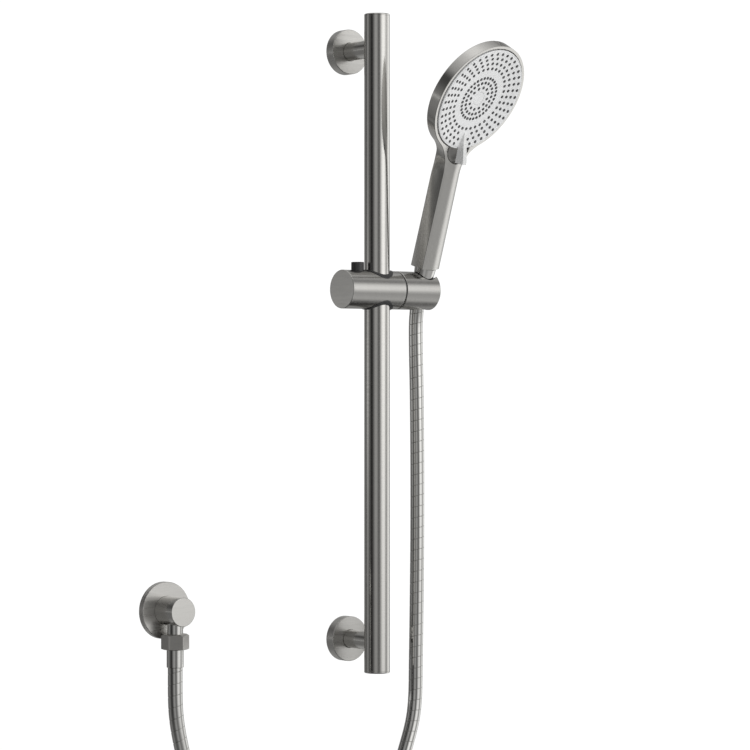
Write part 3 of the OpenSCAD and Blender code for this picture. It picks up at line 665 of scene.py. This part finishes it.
def outline_rows():
    """The outline's right half, from the top down: distance down, half width, and outward direction."""
    first, head_steps, fillet_steps, pitch = 0.015, 110, 16, 2.0
    side = handle_half(72) + FILLET
    reach = math.sqrt((HEAD_R + FILLET) ** 2 - side ** 2)
    touch = math.pi - math.asin(side / (HEAD_R + FILLET))
    rows = []
    for k in range(head_steps + 1):
        angle = first + (touch - first) * k / head_steps
        down, out = -math.cos(angle), math.sin(angle)
        rows.append((HEAD_R * down, HEAD_R * out, down, out))
    lean = math.pi - touch
    for k in range(1, fillet_steps + 1):
        angle = lean + (math.pi / 2 - lean) * k / fillet_steps
        down, out = math.cos(angle), math.sin(angle)
        rows.append((reach - FILLET * down, side - FILLET * out, down, out))
    p = reach
    while p < HANDLE_END:
        p += pitch
        rows.append((p, handle_half(p), 0, 1))
    return rows


def axis_depth(p):
    """Depth of the handle's axis behind the spray face, p down from the face's centre."""
    return AXIS_DEPTH - math.tan(SLOPE) * p


def front_edge(p):
    return soft_min(RIM_FRONT, axis_depth(p) - FLAT_HALF, 2.5)


def back_edge(p):
    return soft_min(RIM_BACK - BACK_ROUND, axis_depth(p) + FLAT_HALF, 3.0)


def front_depth(x, p, half):
    """Depth of the front: level with its edge on the head, and crowned on the handle."""
    return front_edge(p) - FRONT_RISE * smoothstep(*FRONT_CROWN, p) * (1 - (x / half) ** 2)


def back_depth(x, p, half):
    """Depth of the back: a dome on the head, a spine where the handle grows out of it, then a crown."""
    ridge = soft_min(axis_depth(p) + BACK_HALF, RIDGE_LIMIT, 4)
    edge = back_edge(p) + BACK_ROUND
    crown = edge + (ridge - edge) * (1 - (x / half) ** 2)
    spine = ridge - (abs(x) / SPINE_HALF) ** 2 * SPINE_RISE
    plate = dome(math.hypot(x, p))
    mixed = plate + (soft_max(plate, spine, 3) - plate) * smoothstep(*BACK_SPINE, p)
    return mixed + (crown - mixed) * smoothstep(*BACK_CROWN, p)


def belly(p):
    """How far the handle's side bows out on its way to the back, most of all near the head."""
    return smoothstep(*BELLY_STARTS, p) * (1.0 - 0.3 * smoothstep(*BELLY_EASES, p))


def half_section(row):
    """Half of one row's loop: the front from the middle, round the edge, down the wall, and the back."""
    p, half, down, side = row
    wide = half + belly(p)
    soft, across, round_steps, wall, crowding = 0.45, 20, 4, 5, 1.15
    inner, inner_p = half - soft * side, p - soft * down
    points = []
    for k in range(across + 1):
        x = inner * (1 - (1 - k / across) ** crowding)
        points.append((x, inner_p, front_depth(x, inner_p, half)))
    front, back = front_depth(inner, inner_p, half), back_depth(inner, inner_p, half)
    low = front_edge(p) + soft
    for k in range(1, round_steps):
        angle = math.pi / 2 * k / round_steps
        inset = soft * (1 - math.sin(angle))
        depth = front + (low - front) * (1 - math.cos(angle))
        points.append((half - inset * side, p - inset * down, depth))
    high = back_edge(p)
    for k in range(wall + 1):
        points.append((wide - belly(p) * (1 - k / wall) ** 2, p, low + (high - low) * k / wall))
    for k in range(1, round_steps):
        angle = math.pi / 2 * k / round_steps
        inset = soft * (1 - math.cos(angle))
        points.append((wide - inset * side, p - inset * down, high + (back - high) * math.sin(angle)))
    for k in range(across + 1):
        x = (wide - soft * side) * (1 - (k / across) ** crowding)
        points.append((x, inner_p, back_depth(x, inner_p, half)))
    return points


def handset_shell():
    bm = bmesh.new()
    grain = bm.loops.layers.uv.new("UVMap")
    rings = []
    for row in outline_rows():
        half = half_section(row)
        loop = half + [(-x, p, depth) for x, p, depth in reversed(half[1:-1])]
        ring = []
        for x, p, depth in loop:
            # the handle's lower rows are square to the handle, and the head's are square to the face
            offset = (depth - axis_depth(p)) * smoothstep(*SQUARED, p)
            ring.append(bm.verts.new((x, p + offset * math.sin(SLOPE) * math.cos(SLOPE),
                                      depth - offset * math.sin(SLOPE) ** 2)))
        rings.append(ring)
    for n, (a, b) in enumerate(zip(rings, rings[1:])):
        for i, face in enumerate(bridge(bm, a, b)):
            for loop, uv in zip(face.loops, ((i, n), (i + 1, n), (i + 1, n + 1), (i, n + 1))):
                loop[grain].uv = uv
    bm.faces.new(rings[0])
    bm.faces.new(rings[-1])
    return bm


RECESS_R = 54.6  # of the hollow that holds the face plate
SCOOP_R, SCOOP_Y = 16.2, 53  # the bowl behind the lever
HANDLE_FOOT = 24.7  # along the handset's axis
shell = to_object("handset", handset_shell(), FACE, "handset", 38)
trim = round_tool(60, -60, HANDLE_FOOT, HANDSET, 64)  # squares off the handle's lower end
recess = placed(lathe_mesh([(0, -60), (RECESS_R, -60), (RECESS_R, 1.25), (54.2, 1.7), (54.2, 9), (0, 9)],
                           192), FACE)
scoop = placed(lathe_mesh([(0, -30), (SCOOP_R, -30), (SCOOP_R, -1), (15.9, 0.2), (15.2, 1.1), (14, 2.1),
                           (12.5, 2.9), (10.4, 3.5), (8, 3.85), (4, 4.15), (0, 4.2)], 128),
               FACE @ shift(0, SCOOP_Y, 0))
cut(shell, trim, recess)
cut(shell, scoop)
made(shell, nickel_handset, "handset_shell")
# painted shade: the faces in the scoop behind the lever and in the gap round the face plate take the dark
# nickel
shell.data.materials.append(nickel_painted_shade)
to_face = (Matrix.Scale(MM, 4) @ FACE).inverted()
for polygon in shell.data.polygons:
    spot = to_face @ polygon.center
    reach = math.hypot(spot.x, spot.y)
    from_scoop = math.hypot(spot.x, spot.y - SCOOP_Y)
    painted_shade_in_scoop = reach > RECESS_R + 0.1 and from_scoop < SCOOP_R - 0.05 and 0.6 < spot.z < 4.5
    painted_shade_in_gap = 54 < reach < RECESS_R + 0.1 and 0.3 < spot.z < 8.8  # painted shade in the narrow gap round the face plate
    if painted_shade_in_scoop or painted_shade_in_gap:
        polygon.material_index = 1


# ---------------------------------------------------------------- spray face
def dish(r):
    """Depth of the dished spray face: a flat middle, and an arc that rises to the edge."""
    return max(0, 2.7 - max(0, r - 20) ** 2 / 340)


PLATE = ([(7.0, 3.9), (7.0, 2.7)] + [(r, dish(r)) for r in range(20, 51, 2)]
         + [(50.4, 0.0), (51.8, 0.0), (52.0, 0.3), (52.4, 0.3), (52.6, -0.05), (53.15, -0.05),
            (53.5, 0.3), (53.5, 3.9), (7.0, 3.9)])
made(lathe("face_plate", PLATE, FACE, "spray_face", 0.12, 192, sharp=50),
     plate_plastic, "face_plate")
made(lathe("face_centre", [(0, 3.3), (6.85, 3.3), (6.85, 2.8), (0, 2.8)], FACE, "spray_face",
           0.25, 64), cap_plastic, "centre_cap")

# rings of nozzles: radius, number, phase in pitches from the handle, and how many the lever covers
OUTER_RINGS = ((49.5, 40, 0.5, 2), (44.2, 38, 0, 1), (38.5, 36, 0.5, 2), (32.8, 34, 0, 0))
INNER_RINGS = ((22.2, 32, 0, 0), (17, 22, 0, 0), (11.7, 12, 0, 0))
# one nozzle: radius, and depth from the plate
NOZZLE = ((1.7, 0.2), (1.62, -0.08), (1.4, -0.3), (1.2, -0.42), (0.55, -0.46), (0.45, -0.36), (0.4, 0.3))
NOZZLE_SIDES = 16


def nozzles(name, rings, cad):
    bm = bmesh.new()
    for radius, number, phase, covered in rings:
        for i in range((covered + 1) // 2, number - covered // 2):
            angle = TAU * (i + phase) / number
            x, y = radius * math.sin(angle), radius * math.cos(angle)
            loops = [circle(bm, r, z + dish(radius), NOZZLE_SIDES, x, y) for r, z in NOZZLE]
            for a, b in zip(loops, loops[1:]):
                bridge(bm, a, b)
            bm.faces.new(loops[-1])
            bm.faces.new(loops[0])
    made(to_object(name, bm, FACE, "spray_face", 50), silicone, cad)


nozzles("nozzles_outer", OUTER_RINGS, "outer_nozzles")
nozzles("nozzles_inner", INNER_RINGS, "inner_nozzles")

# sections of the lever, down from the face's centre: distance, half width and depth of its base,
# half width and depth of its top, and how far the top leans back up
LEVER = ((36.6, 0.5, 1.95, 0.25, 1.75, 0), (40, 1.7, 1.6, 1.0, -0.1, 0), (45, 3.0, 0.95, 2.0, -2.9, 0),
         (50.2, 3.7, 0.1, 2.4, -6.1, 0), (57, 4.4, -2.3, 2.6, -9.9, 0), (62, 5.0, -4.2, 2.7, -12.3, 0.4),
         (65.9, 5.6, -5.7, 2.7, -13.0, 1.6))
EDGE_ANGLE, EDGE_SOFT = math.radians(28), 0.35  # the lever's edges above this angle are bevelled


def lever_mesh():
    bm = bmesh.new()
    rings = [[bm.verts.new(v) for v in ((-b, y, zb), (b, y, zb), (t, y - lean, zt), (-t, y - lean, zt))]
             for y, b, zb, t, zt, lean in LEVER]
    for a, b in zip(rings, rings[1:]):
        bridge(bm, a, b)
    bm.faces.new(rings[0])
    bm.faces.new(rings[-1])
    edges = [e for e in bm.edges if len(e.link_faces) == 2 and e.calc_face_angle(0) > EDGE_ANGLE]
    bmesh.ops.bevel(bm, geom=edges, offset=EDGE_SOFT, segments=3, affect="EDGES", clamp_overlap=True)
    return bm


made(to_object("lever", lever_mesh(), FACE, "spray_face", 24),
     lever_finish, "selector_lever")


# ---------------------------------------------------------------- fittings
CONE_NUT = [(7.2, -4), (8.0, -4), (8.12, -3.8), (10.6, 23.7), (10.5, 24.3), (9.4, 24.4), (9.4, 10),
            (7.2, 10)]
made(lathe("cone_nut", CONE_NUT, HANDSET, "cone_nut", closed=True),
     polished, "hose_cone_nut")

OUTLET_ROSE = [(24.3, 0), (26.75, 0), (26.75, 2.6), (26.2, 2.8), (26.2, 3.3), (26.75, 3.5), (26.75, 6.1),
               (26.35, 6.5), (13.6, 6.5), (13.6, 4.5), (24.3, 4.5)]
made(lathe("outlet_rose_plate", OUTLET_ROSE, OUTLET @ OUT, "wall_frame", 0.12, 128),
     nickel_rose, "outlet_rose")
made(lathe("outlet_body", [(0, 15), (9.35, 15), (9.35, 0.5), (13.5, 0.5), (13.5, 34), (0, 34)],
           OUTLET @ OUT, "wall_frame", 0.6, 128), nickel_level, "outlet_elbow")
made(lathe("outlet_stub", bar(7.4, -22, -8), DROP, "wall_frame", 0.3),
     polished, "outlet_elbow")
sleeve = made(lathe("outlet_sleeve", tube(8, 6.95, -52, -35.6), DROP, "wall_frame",
                    closed=True), polished, "outlet_ferrule")


def hex_nut(flats, z0, z1, bore):
    """A hexagonal nut whose corners are chamfered at both ends, more at the upper one."""
    bm = bmesh.new()
    sides, sixth, chamfer, slope = 96, math.pi / 3, 0.25, 0.62
    apothem = flats / 2
    rings = []
    for ring in range(4):
        line = []
        for i in range(sides):
            angle = TAU * i / sides
            corner = apothem / math.cos((angle + sixth / 2) % sixth - sixth / 2)
            hexagon = min(corner, flats * 0.571)  # the corners are turned down a little
            rise = (hexagon - apothem) * slope
            r, z = ((apothem - 0.35, z0), (hexagon, z0 + chamfer + rise * 0.35),
                    (hexagon, z1 - chamfer - rise), (apothem - 0.35, z1))[ring]
            line.append(bm.verts.new((r * math.cos(angle), r * math.sin(angle), z)))
        rings.append(line)
    for z in (z1, z0):
        rings.append(circle(bm, bore, z, sides))
    for a, b in zip(rings, rings[1:] + rings[:1]):
        bridge(bm, a, b)
    return bm


made(to_object("outlet_nut", hex_nut(23, -35.3, -21, 7.6), DROP @ turn(-1, "Z"), "outlet_nut",
               18), nickel_nut, "hose_nut")


# ---------------------------------------------------------------- studio
FLOOR_Z = -0.58  # metres: below the hose's loop with the slider right down
FLOOR_R = 1.7
floor_mesh = bmesh.new()
bmesh.ops.create_circle(floor_mesh, cap_ends=True, segments=128, radius=FLOOR_R)
floor_data = bpy.data.meshes.new("floor")
floor_mesh.to_mesh(floor_data)
floor_mesh.free()
floor = bpy.data.objects.new("floor", floor_data)
floor.location = (-0.08, -0.03, FLOOR_Z)
scene.collection.objects.link(floor)
floor.data.materials.append(moulded("studio_floor", (0.86, 0.86, 0.86), 0.7, 40, 0.1))
floor.visible_glossy = False

# what the metal mirrors, by compass direction: degrees to the right of the camera, and brightness
AROUND = ((-180, 0.50), (-150, 0.42), (-128, 0.16), (-110, 0.17), (-98, 0.74), (-84, 0.6), (-70, 0.2),
          (-52, 0.02), (-42, 0.03), (-32, 0.15), (-14, 0.45), (0, 0.42), (12, 0.16), (24, 0.17), (40, 0.9),
          (52, 1.42), (72, 1.42), (82, 0.7), (94, 0.4), (104, 0.75), (114, 1.15), (130, 1.3), (146, 0.6),
          (163, 0.34), (180, 0.50))
# the same by height above the horizon, as the sine of the angle
UPWARD = ((-1.0, 0.05), (-0.775, 0.08), (-0.745, 0.25), (-0.71, 0.57), (-0.66, 1.05), (-0.6, 1.1),
          (-0.35, 1.0), (-0.24, 0.95), (-0.1, 0.92), (0.05, 1.05), (0.22, 1.05), (0.35, 0.8), (0.5, 0.62),
          (1.0, 0.62))
# the same by direction, lower down than the horizon
BELOW = ((-180, 0.25), (-160, 0.35), (-145, 0.35), (-128, 0.19), (-118, 0.22), (-112, 0.45), (-97, 0.55),
         (-84, 0.5), (-70, 0.2), (-52, 0.03), (-32, 0.12), (-14, 0.35), (0, 0.35), (12, 0.2), (30, 0.3),
         (50, 0.43), (98, 0.43), (110, 1.0), (122, 1.25), (138, 1.15), (150, 0.5), (162, 0.18), (180, 0.25))
# how bright the ceiling is, by height
ABOVE = ((-1, 0.2), (0.5, 0.2), (0.63, 0.29), (0.684, 0.42), (0.82, 0.55), (0.95, 0.78), (1, 1.05))
# a lit panel above the horizon, by direction and by height
PANEL_AROUND = ((-180, 0), (64, 0), (71, 1), (93, 1), (99, 0), (180, 0))
PANEL_UPWARD = ((-1, 0), (-0.02, 0), (0.06, 0.9), (0.2, 1), (0.3, 0.93), (0.36, 0.85), (0.42, 0.65),
                (0.5, 0.42), (0.56, 0), (1, 0))
PANEL_LEVEL = 2.205
# a shade on the left, by direction, which leaves a bright strip at the horizon, by height
SHADE_AROUND = ((-180, 0), (-121, 0), (-116, 0.55), (-66, 0.55), (-60, 0), (180, 0))
SHADE_UPWARD = ((-1, 1), (-0.045, 1), (-0.015, 0), (0.015, 0), (0.045, 1), (1, 1))
# where BELOW takes over from AROUND, and the ceiling from the walls, by height
LOW_DOWN = ((-1, 1), (-0.3, 1), (0, 0), (1, 0))
HIGH_UP = ((-1, 0), (0.5, 0), (0.64, 1), (1, 1))
POLE_LEVEL = 0.4  # the walls' brightness straight up and down
BACKDROP_LEVEL = 1.05
CAMERA_WAY = math.atan2(-0.632, 0.775)  # towards the main view's side, as an angle from -Y towards +X
RAMP_TOP = 1.5  # a colour ramp holds brightness up to 1, so it is divided by this and multiplied again


def studio_world():
    world = bpy.data.worlds.new("studio")
    world.use_nodes = True
    scene.world = world
    tree = world.node_tree
    tree.nodes.clear()
    link = tree.links.new
    where = node(tree, "ShaderNodeTexCoord").outputs["Generated"]
    parts = node(tree, "ShaderNodeSeparateXYZ")
    link(where, parts.inputs[0])

    def maths(kind, *terms):
        step = node(tree, "ShaderNodeMath", operation=kind)
        for k, term in enumerate(terms):
            if isinstance(term, (int, float)):
                step.inputs[k].default_value = term
            else:
                link(term, step.inputs[k])
        return step.outputs[0]

    def product(*terms):
        result = terms[0]
        for term in terms[1:]:
            result = maths("MULTIPLY", result, term)
        return result

    def curve(source, stops):
        """Brightness by direction or height, divided by RAMP_TOP."""
        fresh = node(tree, "ShaderNodeValToRGB")
        elements = fresh.color_ramp.elements
        low, high = stops[0][0], stops[-1][0]
        for k, (x, value) in enumerate(stops):
            spot = elements[k] if k < 2 else elements.new((x - low) / (high - low))
            spot.position = (x - low) / (high - low)
            spot.color = (value / RAMP_TOP, value / RAMP_TOP, value / RAMP_TOP, 1)
        link(source, fresh.inputs[0])
        return fresh.outputs[0]

    def blend(a, b, share_of_b):
        return maths("ADD", maths("MULTIPLY", a, maths("SUBTRACT", 1, share_of_b)),
                     maths("MULTIPLY", b, share_of_b))

    angle = maths("ARCTAN2", parts.outputs[0], maths("MULTIPLY", parts.outputs[1], -1))
    angle = maths("ADD", angle, -CAMERA_WAY)
    share = maths("FRACT", maths("ADD", maths("DIVIDE", angle, TAU), 0.5))
    height = maths("ADD", maths("MULTIPLY", parts.outputs[2], 0.5), 0.5)
    lower = product(curve(height, LOW_DOWN), RAMP_TOP)
    around = blend(curve(share, AROUND), curve(share, BELOW), lower)
    # looking straight up or down there is no compass direction, so the walls fade there
    pole = maths("POWER", maths("ABSOLUTE", parts.outputs[2]), 3)
    mixed = blend(around, POLE_LEVEL, pole)
    shade = product(curve(share, SHADE_AROUND), curve(height, SHADE_UPWARD), RAMP_TOP ** 2)
    walls = product(mixed, curve(height, UPWARD), RAMP_TOP ** 2, maths("SUBTRACT", 1, shade))
    ceiling = product(curve(height, ABOVE), RAMP_TOP)
    walls = blend(walls, ceiling, product(curve(height, HIGH_UP), RAMP_TOP))
    panel = product(curve(share, PANEL_AROUND), curve(height, PANEL_UPWARD), PANEL_LEVEL)
    glow = maths("MAXIMUM", walls, panel)
    seen = node(tree, "ShaderNodeBackground", {"Color": (1, 1, 1, 1), "Strength": BACKDROP_LEVEL})
    lit = node(tree, "ShaderNodeBackground", {"Color": (1.0, 0.998, 0.987, 1)})
    link(glow, lit.inputs["Strength"])
    mix = node(tree, "ShaderNodeMixShader")
    link(node(tree, "ShaderNodeLightPath").outputs["Is Camera Ray"], mix.inputs[0])
    link(lit.outputs[0], mix.inputs[1])
    link(seen.outputs[0], mix.inputs[2])
    link(mix.outputs[0], node(tree, "ShaderNodeOutputWorld").inputs["Surface"])


studio_world()


def softbox(name, place, aim, width, height, power):
    """An area light that is seen neither directly nor in the metal."""
    light = bpy.data.lights.new(name, "AREA")
    light.shape = "RECTANGLE"
    light.size, light.size_y, light.energy = width, height, power
    lamp = bpy.data.objects.new(name, light)
    lamp.location = place
    lamp.rotation_euler = (Vector(aim) - Vector(place)).to_track_quat("-Z", "Y").to_euler()
    lamp.visible_camera = False
    lamp.visible_glossy = False
    scene.collection.objects.link(lamp)


softbox("fill", (0.6, -2.6, 0.1), (0, 0, 0.3), 1.8, 1.8, 24)
softbox("top", (-0.5, -1.2, 2.4), (0, 0, 0.2), 2.0, 2.0, 30)

scene.view_settings.view_transform = "Standard"
